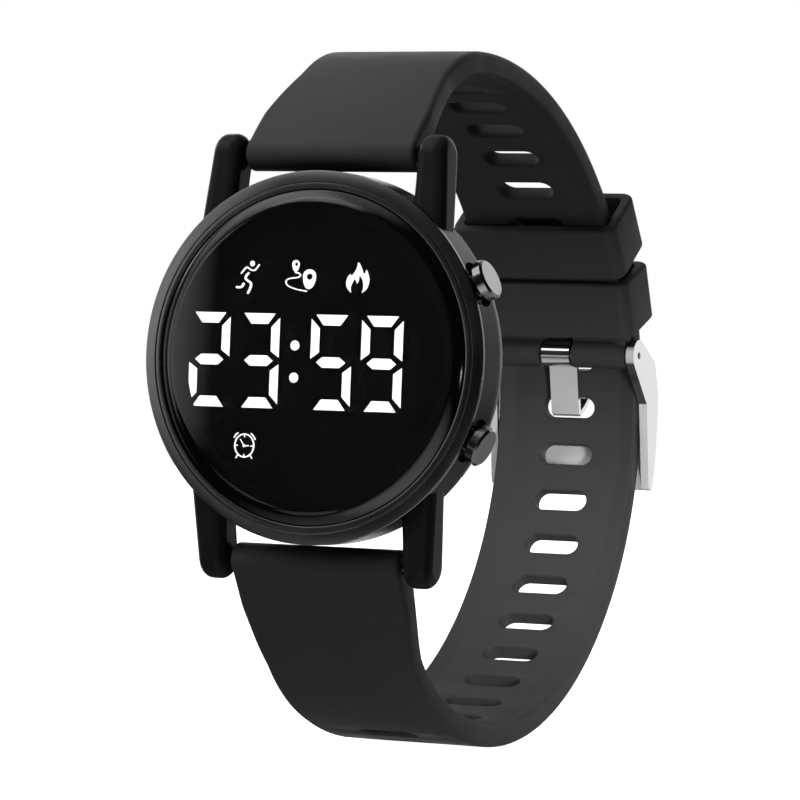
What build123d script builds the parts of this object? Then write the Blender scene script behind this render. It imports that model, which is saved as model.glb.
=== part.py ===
from build123d import *
import math
import os

# Digital wrist watch, buckled, in millimetres.
# The case back's outer face is centred on the origin and the dial faces -Y.
# +Z points to 12 o'clock, +X to the two pushers, and +Y through the wrist to the buckle.

# Case
case_radius = 20.0
case_height = 8.8
case_wall = 3.0
side_depth = 4.3
overrun = 1.0
running_gap = 0.05

# Bezel and lens
bezel_width = 2.0
bezel_side = 0.65
bezel_chamfer = 0.25
lens_gap = 0.1
lens_sink = 0.05
lens_edge = 0.95
lens_rim_width = 1.1
lens_rim_rise = 0.6
lens_dome_rise = 0.6
gasket_height = 0.35

# Display with four digits and a colon; shares are of the display's radius
module_gap = 0.1
module_side_gap = 0.3
display_thickness = 0.8
skirt_width = 1.2
digit_width_share = 0.29
digit_height_share = 0.608
digit_pitch_share = 0.356
digit_pair_share = 0.2575
digit_x_share = -0.1377
digit_z_share = -0.028
bar_stroke_share = 0.068
stem_stroke_share = 0.06
corner_gap_share = 0.033
bar_mitre_share = 0.052
stem_gap_share = 0.027
middle_gap_share = 0.021
middle_tip_share = 0.042
colon_radius_share = 0.032
colon_rise_share = 0.103
segment_depth = 0.3
lit_segments = ("abged", "abgcd", "afgcd", "abcdfg")
all_segments = "abcdefg"

# Board, battery, contact, motor and their holder; shares are of the display's radius
board_gap = 0.1
board_thickness = 0.6
board_notch_radius = 0.6
battery_radius_share = 0.6
battery_x_share = -0.31
battery_chamfer = 0.3
contact_thickness = 0.25
contact_length_share = 1.3
contact_width_share = 0.24
contact_pad_share = 0.21
contact_hole_share = 0.07
motor_radius_share = 0.21
motor_x_share = 0.61
motor_gap = 0.55
pocket_gap = 0.15

# Case back, its gasket and screws
back_margin = 3.8
back_lip = 1.0
back_rim_inset = 0.2
back_thickness = 1.0
spigot_depth = 1.0
back_clearance = 0.1
back_chamfer = 0.2
shelf_thickness = 0.9
shelf_width = 3.0
seal_inset = 2.4
seal_width = 0.6
seal_height = 0.35
screw_count = 4
screw_inset = 1.1
screw_radius = 0.4
screw_head_radius = 0.75
screw_head_height = 0.45
screw_length = 1.4
screw_slot_width = 0.25
screw_slot_depth = 0.2

# Pushers, one to each side of 3 o'clock, measured along their own axes
pusher_angle = 24.5
pusher_depth = 2.4
pusher_travel = 0.4
pusher_stand = 1.6
cap_radius = 2.2
cap_height = 1.1
cap_chamfer = 0.25
stem_radius = 0.7
stem_inner_length = 2.0
stem_groove_depth = 0.2
recess_gap = 0.35
recess_depth = 0.7
spring_bore_radius = 1.6
spring_shoulder = 1.25
seal_pocket_depth = 0.55
seal_pocket_width = 0.4
clip_width = 0.35
clip_thickness = 0.3
clip_gap = 0.1
spring_side_gap = 0.3
spring_wire = 0.24
spring_wire_sides = 6
spring_turns = 3
spring_end_gap = 0.02
switch_gap = 0.1
switch_length = 1.6
switch_width = 3.4
switch_height = 1.5
switch_key_radius = 0.45
switch_key_length = 0.3
notch_gap = 0.25

# Strap section
strap_width = 20.0
strap_taper = 2.0
strap_taper_length = 13.0
strap_root_length = 5.0
strap_thickness = 2.1
strap_rim = 0.5
strap_rim_slope = 2.1
strap_edge_bevel = 0.4
strap_barrel_radius = 1.9
strap_clearance = 0.3

# Lugs and the spring bars between them
lug_gap = 0.5
lug_tip_width = 3.1
lug_base_width = 4.3
lug_tip_radius = 2.3
lug_tip_depth = 4.05
lug_tip_stand = 1.85
lug_base_radius = 1.95
lug_base_depth = 2.6
lug_base_share = 0.65
lug_edge_radius = 1.25
lug_face_tilt = 20.0
bar_depth = 4.3
bar_stand = 2.0
bar_radius = 0.75
bar_wall = 0.2
bar_end_gap = 0.45
bar_tip_radius = 0.5
bar_tip_reach = 1.3
bar_tip_length = 4.0
bar_hole_gap = 0.2

# Strap route in the side view: lean of the root, then radii and turns of the outer face
upper_root_lean = 42.3
upper_front_radius = 46.8
upper_top_radius = 16.8
upper_back_radius = 50.6
keeper_radius = 37.5
upper_turns = (-18.8, -25.0, -44.9, -35.2)
lower_root_lean = 32.9
lower_straight = 8.8
lower_front_radius = 23.6
lower_front_turn = 33.0
lower_turn_share = 0.6
tail_length = 18.8

# Slots through both strap halves
slot_length = 6.8
slot_height = 2.6
slot_pitch = 6.1
tongue_slot_length = 7.6
slots_above_tongue = 3
slots_below_tongue = 12
upper_slot_length = 18.1
upper_slot_count = 6

# Keepers
keeper_length = 7.0
keeper_wall = 1.2
keeper_corner = 1.6
keeper_gap = 0.3
keeper_sag = 0.2
fixed_keeper_length = 6.6
free_keeper_length = 15.2

# Buckle
tube_radius = 1.65
buckle_bar_radius = 0.85
buckle_tip_radius = 0.6
buckle_tip_length = 0.7
cheek_thickness = 1.0
cheek_gap = 0.4
cheek_end_radius = 1.9
cheek_shoulder_radius = 1.8
cheek_shoulder_length = 2.9
cheek_shoulder_sink = 1.1
frame_start = 6.0
frame_plate_start = 9.3
frame_end = 17.2
frame_plate_gap = 0.3
frame_plate_thickness = 1.1
flange_rise = 2.4
tongue_width = 3.6
tongue_thickness = 0.6
tongue_barrel_radius = 1.55
tongue_slot_gap = 0.35
tongue_overhang = 1.2
tongue_side_gap = 0.35

# Angles and shares used by several pieces
full_turn = 360
quarter = 90
half_share = 0.5

# Radii and depths of the case worked out from the sizes above
cavity_radius = case_radius - case_wall
bezel_inner_radius = case_radius - bezel_width
lens_radius = bezel_inner_radius - lens_gap
display_radius = cavity_radius - module_side_gap
back_radius = case_radius - back_margin
back_rim_radius = back_radius + back_lip
shelf_opening_radius = back_radius - shelf_width
seal_radius = back_radius - seal_inset
screw_circle = back_radius - screw_inset
front = -case_height
bezel_seat = front + bezel_side
lens_front = front + lens_sink
lens_back = lens_front + lens_edge
ledge = lens_back + gasket_height
display_front = lens_back + module_gap
display_back = display_front + display_thickness
pusher_y = front + pusher_depth
clip_radius = stem_radius + clip_width
board_front = pusher_y + clip_radius + board_gap
board_back = board_front + board_thickness
battery_front = board_back + contact_thickness
back_inner = -back_thickness
battery_back = back_inner - spigot_depth
motor_back = battery_back - motor_gap
shelf_front = back_inner - shelf_thickness

# Digits, battery, contact and motor follow the display's radius
digit_width = display_radius * digit_width_share
digit_height = display_radius * digit_height_share
digit_pitch = display_radius * digit_pitch_share
digit_pair_offset = display_radius * digit_pair_share
digit_x = display_radius * digit_x_share
digit_z = display_radius * digit_z_share
bar_stroke = display_radius * bar_stroke_share
stem_stroke = display_radius * stem_stroke_share
corner_gap = display_radius * corner_gap_share
bar_mitre = display_radius * bar_mitre_share
stem_gap = display_radius * stem_gap_share
middle_gap = display_radius * middle_gap_share
middle_tip = display_radius * middle_tip_share
colon_radius = display_radius * colon_radius_share
colon_rise = display_radius * colon_rise_share
battery_radius = display_radius * battery_radius_share
battery_x = display_radius * battery_x_share
contact_length = display_radius * contact_length_share
contact_width = display_radius * contact_width_share
contact_pad_radius = display_radius * contact_pad_share
contact_hole_radius = display_radius * contact_hole_share
motor_radius = display_radius * motor_radius_share
motor_x = display_radius * motor_x_share

# Reaches along a pusher's axis, from the case's centre
pusher_reach = case_radius + pusher_stand
recess_reach = case_radius - recess_depth
recess_radius = cap_radius + recess_gap
spring_bore_reach = cavity_radius + spring_shoulder
seal_pocket_reach = spring_bore_reach - seal_pocket_depth
seal_pocket_radius = stem_radius + seal_pocket_width
spring_radius = spring_bore_radius - spring_side_gap - spring_wire * half_share
clip_reach = cavity_radius - clip_gap
stem_end_reach = cavity_radius - stem_inner_length
stem_groove_radius = stem_radius - stem_groove_depth
switch_face = stem_end_reach - pusher_travel - switch_gap

# Strap, lugs and spring bars
strap_end_width = strap_width - strap_taper
strap_half = strap_width * half_share
strap_end_half = strap_end_width * half_share
strap_depth = strap_thickness + strap_rim
strap_root_thickness = strap_barrel_radius + strap_barrel_radius - strap_rim
lug_inner_x = strap_half + lug_gap
lug_tip_z = case_radius + lug_tip_stand
lug_base_z = case_radius * lug_base_share
bar_y = front + bar_depth
bar_z = case_radius + bar_stand
cheek_inner_x = strap_end_half + cheek_gap
cheek_outer_x = cheek_inner_x + cheek_thickness


def direction(degrees):
    # Unit vector in the side view
    return Vector(math.cos(math.radians(degrees)), math.sin(math.radians(degrees)))


def route(start, heading, legs):
    # Edges of a side-view route; a leg is (radius, turn) or (0, straight length)
    edges = []
    point = Vector(*start)
    for radius, amount in legs:
        if radius == 0:
            edge = Line(point, point + direction(heading) * amount)
        else:
            edge = JernArc(point, direction(heading), radius, amount)
            heading = heading + amount
        edges.append(edge)
        point = edge @ 1
    return edges, point, heading


def arc_step(heading, turn):
    # Travel of a unit-radius left turn
    end = direction(heading + turn)
    begin = direction(heading)
    return Vector(end.Y - begin.Y, begin.X - end.X)


def biarc(start, heading, end, end_heading, share):
    # Two left turns that join two points smoothly; the first takes the given share of the turn
    turn = end_heading - heading
    first = arc_step(heading, turn * share)
    second = arc_step(heading + turn * share, turn - turn * share)
    gap = end - start
    scale = first.X * second.Y - first.Y * second.X
    first_radius = (gap.X * second.Y - gap.Y * second.X) / scale
    second_radius = (first.X * gap.Y - first.Y * gap.X) / scale
    return ((first_radius, turn * share), (second_radius, turn - turn * share))


# Strap routes and the buckle's place on them
upper_root_heading = quarter - upper_root_lean
lower_root_heading = lower_root_lean - quarter
upper_root = Vector(bar_y, bar_z) + direction(upper_root_heading + quarter) * strap_barrel_radius
lower_root = Vector(bar_y, -bar_z) + direction(lower_root_heading - quarter) * strap_barrel_radius
upper_radii = (upper_front_radius, upper_top_radius, upper_back_radius, keeper_radius)
upper_legs = tuple(zip(upper_radii, upper_turns))
lower_legs = ((0, lower_straight), (lower_front_radius, lower_front_turn))
upper_edges, upper_end, upper_heading = route(upper_root, upper_root_heading, upper_legs)
wrap_angle = upper_heading + quarter
wrap_centre = upper_end - direction(wrap_angle) * keeper_radius
bar_centre = upper_end - direction(wrap_angle) * tube_radius
tail_radius = keeper_radius + strap_clearance + strap_depth
join = wrap_centre + direction(wrap_angle) * tail_radius
first_edges, middle, middle_heading = route(lower_root, lower_root_heading, lower_legs)
join_heading = wrap_angle + quarter
lower_arcs = biarc(middle, middle_heading, join, join_heading, lower_turn_share)
tail_turn = math.degrees(tail_length / tail_radius)
last_legs = lower_arcs + ((tail_radius, tail_turn),)
lower_edges = first_edges + route(middle, middle_heading, last_legs)[0]
loop_radius = lower_arcs[1][0]
loop_centre = join - direction(wrap_angle) * loop_radius


def wire_of(edges):
    # Side-view edges put upright in the Y-Z plane
    return Wire([Plane.YZ.from_local_coords(edge) for edge in edges])


upper_path = wire_of(upper_edges)
lower_path = wire_of(lower_edges)
join_distance = lower_path.length - tail_length


def disc(radius, y0, y1, x=0, z=0):
    # Solid cylinder along Y
    plane = Plane(origin=(x, y0, z), x_dir=(1, 0, 0), z_dir=(0, 1, 0))
    return extrude(plane * Circle(radius), y1 - y0)


def ring(outer, inner, y0, y1):
    # Flat ring about Y
    return disc(outer, y0, y1) - disc(inner, y0 - overrun, y1 + overrun)


def cross_rod(radius, half_length, centre):
    # Solid cylinder along X, centred on the middle plane
    plane = Plane(origin=(-half_length, centre.X, centre.Y), x_dir=(0, 1, 0), z_dir=(1, 0, 0))
    return extrude(plane * Circle(radius), half_length + half_length)


def rod(radius, z0, z1):
    # Solid cylinder along a pusher's own axis
    return extrude(Plane.XY.offset(z0) * Circle(radius), z1 - z0)


def block(x0, x1, y0, y1, z0, z1):
    # Box between two corners
    box = Box(x1 - x0, y1 - y0, z1 - z0, align=(Align.MIN, Align.MIN, Align.MIN))
    return Pos(x0, y0, z0) * box


def pusher_plane(side):
    # Local frame of a pusher: Z runs outward along its axis
    out = direction(side * pusher_angle)
    return Plane(origin=(0, pusher_y, 0), x_dir=(0, 1, 0), z_dir=(out.X, 0, out.Y))


def both_pushers(solid):
    # The same solid in the frames of both pushers
    return [pusher_plane(side) * solid for side in (1, -1)]


def case_profile():
    # Section of the case shell, from its front face round to the cavity
    side_end = (case_radius, front + side_depth)
    rim = (back_rim_radius, -back_rim_inset)
    recess = back_radius + back_clearance
    head = Polyline((bezel_inner_radius, bezel_seat), (case_radius, bezel_seat), side_end)
    curve = TangentArc(side_end, rim, tangent=(0, 1))
    inside = Polyline(
        rim,
        (recess, -back_rim_inset),
        (recess, back_inner),
        (shelf_opening_radius, back_inner),
        (shelf_opening_radius, shelf_front),
        (cavity_radius, shelf_front),
        (cavity_radius, ledge),
        (bezel_inner_radius, ledge),
        (bezel_inner_radius, bezel_seat),
    )
    return make_face([*head.edges(), curve.edge(), *inside.edges()])


def lug(side, end):
    # One tapered lug with rounded edges, clear of the cavity
    base = Pos(front + lug_base_depth, lug_base_z) * Circle(lug_base_radius)
    tip = Pos(front + lug_tip_depth, lug_tip_z) * Circle(lug_tip_radius)
    profile = make_hull([*base.edges(), *tip.edges()])
    tip_z = lug_tip_z + lug_tip_radius + overrun
    foot_z = lug_base_z - lug_base_radius - overrun
    wide = lug_inner_x + lug_base_width
    narrow = lug_inner_x + lug_tip_width
    slab = extrude(Plane.YZ * profile, wide + overrun)
    corners = ((lug_inner_x, foot_z), (wide, foot_z), (narrow, tip_z), (lug_inner_x, tip_z))
    plan = Polyline(*corners, close=True)
    upright = Plane(origin=(0, front - overrun, 0), x_dir=(1, 0, 0), z_dir=(0, -1, 0))
    post = extrude(upright * make_face(plan), -(case_height + overrun + overrun))
    body = slab & post
    ends = body.faces().filter_by(Axis.X, tolerance=lug_face_tilt)
    body = fillet(ends.edges(), lug_edge_radius)
    body = body - disc(bezel_inner_radius, front - overrun, ledge)
    body = body - disc(cavity_radius, ledge, shelf_front)
    if side < 0:
        body = mirror(body, about=Plane.YZ)
    if end < 0:
        body = mirror(body, about=Plane.XY)
    return body


def screw_places():
    # Centres of the case back screws
    turn = full_turn / screw_count
    places = []
    for index in range(screw_count):
        out = direction(turn * (index + half_share)) * screw_circle
        places.append((out.X, out.Y))
    return places


def pusher_bore():
    # Stepped bore for a pusher, along its own axis
    bore = rod(stem_radius + running_gap, cavity_radius - overrun, recess_reach)
    bore = bore + rod(seal_pocket_radius, seal_pocket_reach, spring_bore_reach)
    bore = bore + rod(spring_bore_radius, spring_bore_reach, recess_reach)
    return bore + rod(recess_radius, recess_reach, case_radius + overrun)


def case_body():
    # Shell, four lugs, pusher bores, spring bar holes and screw holes
    body = revolve(case_profile(), axis=Axis.Y)
    for side in (1, -1):
        for end in (1, -1):
            body = body + lug(side, end)
    for bore in both_pushers(pusher_bore()):
        body = body - bore
    for end in (1, -1):
        centre = Vector(bar_y, end * bar_z)
        hole_end = lug_inner_x + bar_tip_reach + bar_hole_gap
        body = body - cross_rod(bar_tip_radius + running_gap, hole_end, centre)
    for x, z in screw_places():
        body = body - disc(screw_radius, shelf_front - overrun, back_inner + overrun, x, z)
    return body


def bezel_ring():
    # Front ring with a bevelled outer edge
    body = ring(case_radius, bezel_inner_radius, front, bezel_seat)
    rims = body.edges().filter_by(GeomType.CIRCLE).group_by(Axis.Y)[0]
    return chamfer(rims.sort_by(SortBy.RADIUS)[-1], bezel_chamfer)


def lens():
    # Glass with a sloped rim and a shallow dome
    rim_radius = lens_radius - lens_rim_width
    rim_front = lens_front - lens_rim_rise
    apex = rim_front - lens_dome_rise
    dome = TangentArc((0, apex), (rim_radius, rim_front), tangent=(1, 0))
    rest = Polyline((rim_radius, rim_front), (lens_radius, lens_front), (lens_radius, lens_back),
                    (0, lens_back), (0, apex))
    return revolve(make_face([dome.edge(), *rest.edges()]), axis=Axis.Y)


def lens_gasket():
    # Flat ring between the lens and the case's ledge
    return ring(lens_radius, cavity_radius, lens_back, ledge)


def segment_outline(name):
    # One segment with mitred ends, drawn about the digit's centre
    half_w = digit_width * half_share
    half_h = digit_height * half_share
    half_bar = bar_stroke * half_share
    if name in "ad":
        sign = 1 if name == "a" else -1
        top = sign * half_h
        low = sign * (half_h - bar_stroke)
        out = half_w - corner_gap
        return ((-out, top), (out, top), (out - bar_mitre, low), (bar_mitre - out, low))
    if name == "g":
        tip = half_w - middle_tip
        flat = tip - middle_tip
        return ((-tip, 0), (-flat, half_bar), (flat, half_bar), (tip, 0), (flat, -half_bar),
                (-flat, -half_bar))
    x_sign = 1 if name in "bc" else -1
    z_sign = 1 if name in "bf" else -1
    inner = half_w - stem_stroke
    far = half_h - stem_gap
    near = middle_gap
    points = ((half_w, far), (half_w, near), (inner, near + middle_tip), (inner, far - stem_stroke))
    return tuple((x_sign * x, z_sign * z) for x, z in points)


def digit_centres():
    # Centres of the four digits from left to right
    near = digit_pair_offset
    far = digit_pair_offset + digit_pitch
    return [digit_x - far, digit_x - near, digit_x + near, digit_x + far]


def prism(points, x, z, y0, y1):
    # Outline in the dial's plane, made solid between two depths
    plane = Plane(origin=(x, y0, z), x_dir=(1, 0, 0), z_dir=(0, -1, 0))
    return extrude(plane * make_face(Polyline(*points, close=True)), y0 - y1)


def segments(lit):
    # All lit or all unlit segments as separate inlays; the colon belongs to the lit ones
    solids = []
    back = display_front + segment_depth
    for centre, names in zip(digit_centres(), lit_segments):
        for name in all_segments:
            if (name in names) == lit:
                solids.append(prism(segment_outline(name), centre, digit_z, display_front, back))
    if lit:
        for rise in (colon_rise, -colon_rise):
            solids.append(disc(colon_radius, display_front, back, digit_x, digit_z + rise))
    return solids


def display_frame():
    # Plate with a well for each segment and a skirt that stands on the board
    body = disc(display_radius, display_front, display_back)
    body = body + ring(display_radius, display_radius - skirt_width, display_back, board_front)
    for solid in segments(True) + segments(False):
        body = body - solid
    clip_space = rod(clip_radius + notch_gap, clip_reach - clip_thickness - pusher_travel - notch_gap,
                     cavity_radius)
    stem_space = rod(stem_radius + notch_gap, stem_end_reach - pusher_travel - notch_gap, cavity_radius)
    for space in both_pushers(clip_space) + both_pushers(stem_space) + skirt_gates():
        body = body - space
    return body


def skirt_gates():
    # Openings in the skirt for the switches
    half = switch_width * half_share + notch_gap
    gate = block(display_back - pusher_y, board_front - pusher_y, -half, half,
                 display_radius - skirt_width - overrun, cavity_radius)
    return both_pushers(gate)


def circuit_board():
    # Round board with two edge notches that key it to the holder
    body = disc(display_radius, board_front, board_back)
    half = board_notch_radius
    for side in (1, -1):
        edge = side * display_radius
        body = body - block(-half, half, board_front - overrun, board_back + overrun,
                            min(edge, edge - side * overrun), max(edge, edge - side * overrun))
    return body


def button_switches():
    # Two push switches on the board, each with a round key facing its pusher
    floor = board_front - pusher_y
    half = switch_width * half_share
    base = switch_face - switch_length
    body = block(floor - switch_height, floor, -half, half, base, switch_face - switch_key_length)
    key = rod(switch_key_radius, switch_face - switch_key_length, switch_face)
    return both_pushers(body + key)


def battery_contact():
    # Leaf between the board and the cell, with a round pad
    half = contact_length * half_share
    wide = contact_width * half_share
    leaf = block(battery_x - half + contact_pad_radius, battery_x + half - contact_pad_radius,
                 board_back, battery_front, -wide, wide)
    pad = disc(contact_pad_radius, board_back, battery_front, battery_x)
    hole = disc(contact_hole_radius, board_back - overrun, battery_front + overrun, battery_x)
    return leaf + pad - hole


def battery():
    # Coin cell with a bevelled can
    body = disc(battery_radius, battery_front, battery_back, battery_x)
    return chamfer(body.edges().filter_by(GeomType.CIRCLE), battery_chamfer)


def vibration_motor():
    # Flat coin motor
    body = disc(motor_radius, board_back, motor_back, motor_x)
    return chamfer(body.edges().filter_by(GeomType.CIRCLE).group_by(Axis.Y)[-1], battery_chamfer)


def module_holder():
    # Moulded carrier with pockets for the cell, the contact and the motor
    body = disc(display_radius, board_back, battery_back)
    body = body - disc(battery_radius + pocket_gap, board_back - overrun, battery_back + overrun, battery_x)
    body = body - disc(motor_radius + pocket_gap, board_back - overrun, battery_back + overrun, motor_x)
    half = contact_width * half_share + pocket_gap
    reach = contact_length * half_share
    channel = block(battery_x - reach, battery_x + reach, board_back - overrun,
                    battery_front + pocket_gap, -half, half)
    return body - channel


def case_back():
    # Plate with a spigot that clamps the module, a gasket groove and screw seats
    body = disc(back_radius, back_inner, 0)
    body = body + disc(shelf_opening_radius - back_clearance, battery_back, back_inner)
    body = body - seal_ring(running_gap)
    body = chamfer(body.edges().filter_by(GeomType.CIRCLE).group_by(Axis.Y)[-1], back_chamfer)
    for x, z in screw_places():
        body = body - disc(screw_radius, back_inner - overrun, overrun, x, z)
        body = body - disc(screw_head_radius + running_gap, -screw_head_height, overrun, x, z)
    return body


def seal_ring(gap):
    # Ring in the case back's groove
    half = seal_width * half_share + gap
    return ring(seal_radius + half, seal_radius - half, back_inner, back_inner + seal_height)


def back_screws():
    # Slotted screws, heads flush with the case back
    solids = []
    for x, z in screw_places():
        solid = disc(screw_head_radius, -screw_head_height, 0, x, z)
        solid = solid + disc(screw_radius, -screw_length, -screw_head_height, x, z)
        half = screw_slot_width * half_share
        slot = block(x - screw_circle, x + screw_circle, -screw_slot_depth, overrun, z - half, z + half)
        solids.append(solid - slot)
    return solids


def pusher():
    # Cap and stem with a clip groove
    body = rod(cap_radius, pusher_reach - cap_height, pusher_reach)
    body = chamfer(body.edges().filter_by(GeomType.CIRCLE).group_by(Axis.Z)[-1], cap_chamfer)
    body = body + rod(stem_radius, stem_end_reach, pusher_reach - cap_height)
    groove = rod(stem_radius + overrun, clip_reach - clip_thickness, clip_reach)
    return body - (groove - rod(stem_groove_radius, stem_end_reach, pusher_reach))


def pusher_clip():
    # Open ring in the stem's groove
    body = rod(clip_radius, clip_reach - clip_thickness, clip_reach)
    body = body - rod(stem_groove_radius, stem_end_reach, pusher_reach)
    half = stem_groove_radius * half_share
    return body - block(-half, half, 0, clip_radius + overrun, stem_end_reach, pusher_reach)


def pusher_seal():
    # Ring seal round the stem
    hole = rod(stem_radius + running_gap, stem_end_reach, pusher_reach)
    return rod(seal_pocket_radius, seal_pocket_reach, spring_bore_reach) - hole


def pusher_spring():
    # Coil between the bore's shoulder and the cap
    low = spring_bore_reach + spring_wire * half_share + spring_end_gap
    high = pusher_reach - cap_height - spring_wire * half_share - spring_end_gap
    height = high - low
    coil = Pos(0, 0, low) * Helix(height / spring_turns, height, spring_radius)
    wire = RegularPolygon(spring_wire * half_share, spring_wire_sides)
    section = Plane(origin=coil @ 0, z_dir=coil % 0) * wire
    return sweep(section, path=coil)


def bar_tube(end):
    # Spring bar's tube
    centre = Vector(bar_y, end * bar_z)
    half = lug_inner_x - bar_end_gap
    return cross_rod(bar_radius, half, centre) - cross_rod(bar_radius - bar_wall, half + overrun, centre)


def bar_tips(end):
    # Spring bar's two sprung tips, seated in the lugs
    centre = Vector(bar_y, end * bar_z)
    reach = lug_inner_x + bar_tip_reach
    both = cross_rod(bar_tip_radius, reach, centre)
    return both - cross_rod(bar_radius, reach - bar_tip_length, centre)


def strap_section(width, thickness, side):
    # Flat outer face with bevelled edges, raised rims inside
    half = width * half_share
    bevel = half - strap_edge_bevel
    slope = half - strap_rim_slope
    top = thickness + strap_rim
    points = ((-bevel, 0), (bevel, 0), (half, strap_edge_bevel), (half, top), (slope, thickness),
              (-slope, thickness), (-half, top), (-half, strap_edge_bevel))
    return make_face(Polyline(*[(x, side * depth) for x, depth in points], close=True))


def plane_on(path, distance):
    # Section plane at a distance along a strap's route
    share = distance / path.length
    return Plane(origin=path @ share, x_dir=Vector(1, 0, 0), z_dir=path % share)


def band_piece(path, start, end, side):
    # Stretch of band between two stations; a station is (distance, width, thickness)
    stretch = path.trim(start[0] / path.length, end[0] / path.length)
    first = plane_on(stretch, 0) * strap_section(start[1], start[2], side)
    if start[1:] == end[1:]:
        return sweep(first, path=stretch)
    last = plane_on(stretch, stretch.length) * strap_section(end[1], end[2], side)
    return sweep(sections=[first, last], path=stretch, multisection=True)


def strap_band(path, side):
    # Band along the route: thicker root, tapered stretch, then one constant section
    stations = ((0, strap_width, strap_root_thickness), (strap_root_length, strap_width, strap_thickness),
                (strap_taper_length, strap_end_width, strap_thickness),
                (path.length, strap_end_width, strap_thickness))
    body = band_piece(path, stations[0], stations[1], side)
    for start, end in zip(stations[1:], stations[2:]):
        body = body + band_piece(path, start, end, side)
    return body


def slot_cut(path, distance):
    # Round-ended slot through the band, square to its outer face
    place = plane_on(path, distance)
    flat = Plane(origin=place.origin, x_dir=place.x_dir, z_dir=place.y_dir)
    return extrude(flat * SlotOverall(slot_length, slot_height), strap_depth + overrun, both=True)


def strap_root(band, end):
    # Barrel with a bore for the spring bar
    centre = Vector(bar_y, end * bar_z)
    body = band + cross_rod(strap_barrel_radius, strap_half, centre)
    return body - cross_rod(bar_radius + running_gap, strap_half + overrun, centre)


def strap_buckle_half():
    # Upper half with its slots, and a split tube round the buckle bar
    body = strap_root(strap_band(upper_path, 1), 1)
    body = body + cross_rod(tube_radius, strap_end_half, bar_centre)
    for index in range(upper_slot_count):
        distance = upper_path.length - upper_slot_length - index * slot_pitch
        body = body - slot_cut(upper_path, distance)
    body = body - cross_rod(buckle_bar_radius, strap_end_half + overrun, bar_centre)
    notch = tongue_width * half_share + tongue_side_gap
    reach = tube_radius + tongue_side_gap
    return body - block(-notch, notch, bar_centre.X - reach, bar_centre.X + reach + overrun,
                        bar_centre.Y - reach - overrun, bar_centre.Y + reach)


def strap_hole_half():
    # Lower half with the row of slots
    body = strap_root(strap_band(lower_path, -1), -1)
    for index in range(-slots_below_tongue, slots_above_tongue + 1):
        distance = join_distance - tongue_slot_length + index * slot_pitch
        body = body - slot_cut(lower_path, distance)
    return body


def keeper(distance):
    # Rounded band round both strap layers at a distance from the buckle bar
    angle = wrap_angle + math.degrees(distance / keeper_radius)
    low = keeper_radius - strap_depth - keeper_sag - keeper_gap
    high = tail_radius + keeper_gap
    out = direction(angle)
    along = direction(angle + quarter)
    middle_radius = (low + high) * half_share
    origin = wrap_centre + out * middle_radius
    plane = Plane(origin=(0, origin.X, origin.Y), x_dir=(1, 0, 0), z_dir=(0, along.X, along.Y))
    wide = strap_end_width + keeper_gap + keeper_gap
    outer = RectangleRounded(wide + keeper_wall + keeper_wall, high - low + keeper_wall + keeper_wall,
                             keeper_corner)
    inner = RectangleRounded(wide, high - low, keeper_corner * half_share)
    body = extrude(plane * (outer - inner), keeper_length * half_share, both=True)
    return body


def keeper_ribs():
    # Ribs that hold the fixed keeper to the edges of the buckle half
    angle = wrap_angle + math.degrees(fixed_keeper_length / keeper_radius)
    out = direction(angle)
    along = direction(angle + quarter)
    origin = wrap_centre + out * (keeper_radius - strap_depth * half_share)
    plane = Plane(origin=(0, origin.X, origin.Y), x_dir=(1, 0, 0), z_dir=(0, along.X, along.Y))
    ribs = []
    for side in (1, -1):
        spot = plane * Pos(side * (strap_end_half + keeper_gap * half_share), 0)
        rib = Box(keeper_gap, strap_thickness * half_share, keeper_length)
        ribs.append(spot * rib)
    return ribs


def keeper_fixed():
    # Keeper next to the buckle, joined to the strap's edges
    body = keeper(fixed_keeper_length)
    for rib in keeper_ribs():
        body = body + rib
    return body


def keeper_free():
    # Keeper that slides along the strap
    return keeper(free_keeper_length)


def buckle_bar():
    # Pin through the strap's tube, with thinner ends in the cheeks
    shoulder = cheek_inner_x - running_gap
    body = cross_rod(buckle_bar_radius, shoulder, bar_centre)
    return body + cross_rod(buckle_tip_radius, shoulder + buckle_tip_length, bar_centre)


def loop_angle(distance):
    # Polar angle about the loop's centre, at a distance below the join
    return wrap_angle - math.degrees(distance / loop_radius)


def frame_band(start, end, x0, x1):
    # Curved plate outside the hole half between two distances, over a range of X
    inner_radius = loop_radius + frame_plate_gap
    outer_radius = inner_radius + frame_plate_thickness
    low = loop_angle(end)
    high = loop_angle(start)
    centre = Pos(loop_centre.X, loop_centre.Y)
    outer = centre * CenterArc((0, 0), outer_radius, low, high - low)
    inner = centre * CenterArc((0, 0), inner_radius, low, high - low)
    sides = [Line(outer @ 0, inner @ 0), Line(outer @ 1, inner @ 1)]
    face = make_face([outer.edge(), inner.edge(), sides[0].edge(), sides[1].edge()])
    return extrude(Plane.YZ.offset(x0) * face, x1 - x0)


def loop_point(distance, rise):
    # Point in the side view at a distance below the join, outside the strap's face by a rise
    return loop_centre + direction(loop_angle(distance)) * (loop_radius + rise)


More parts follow.
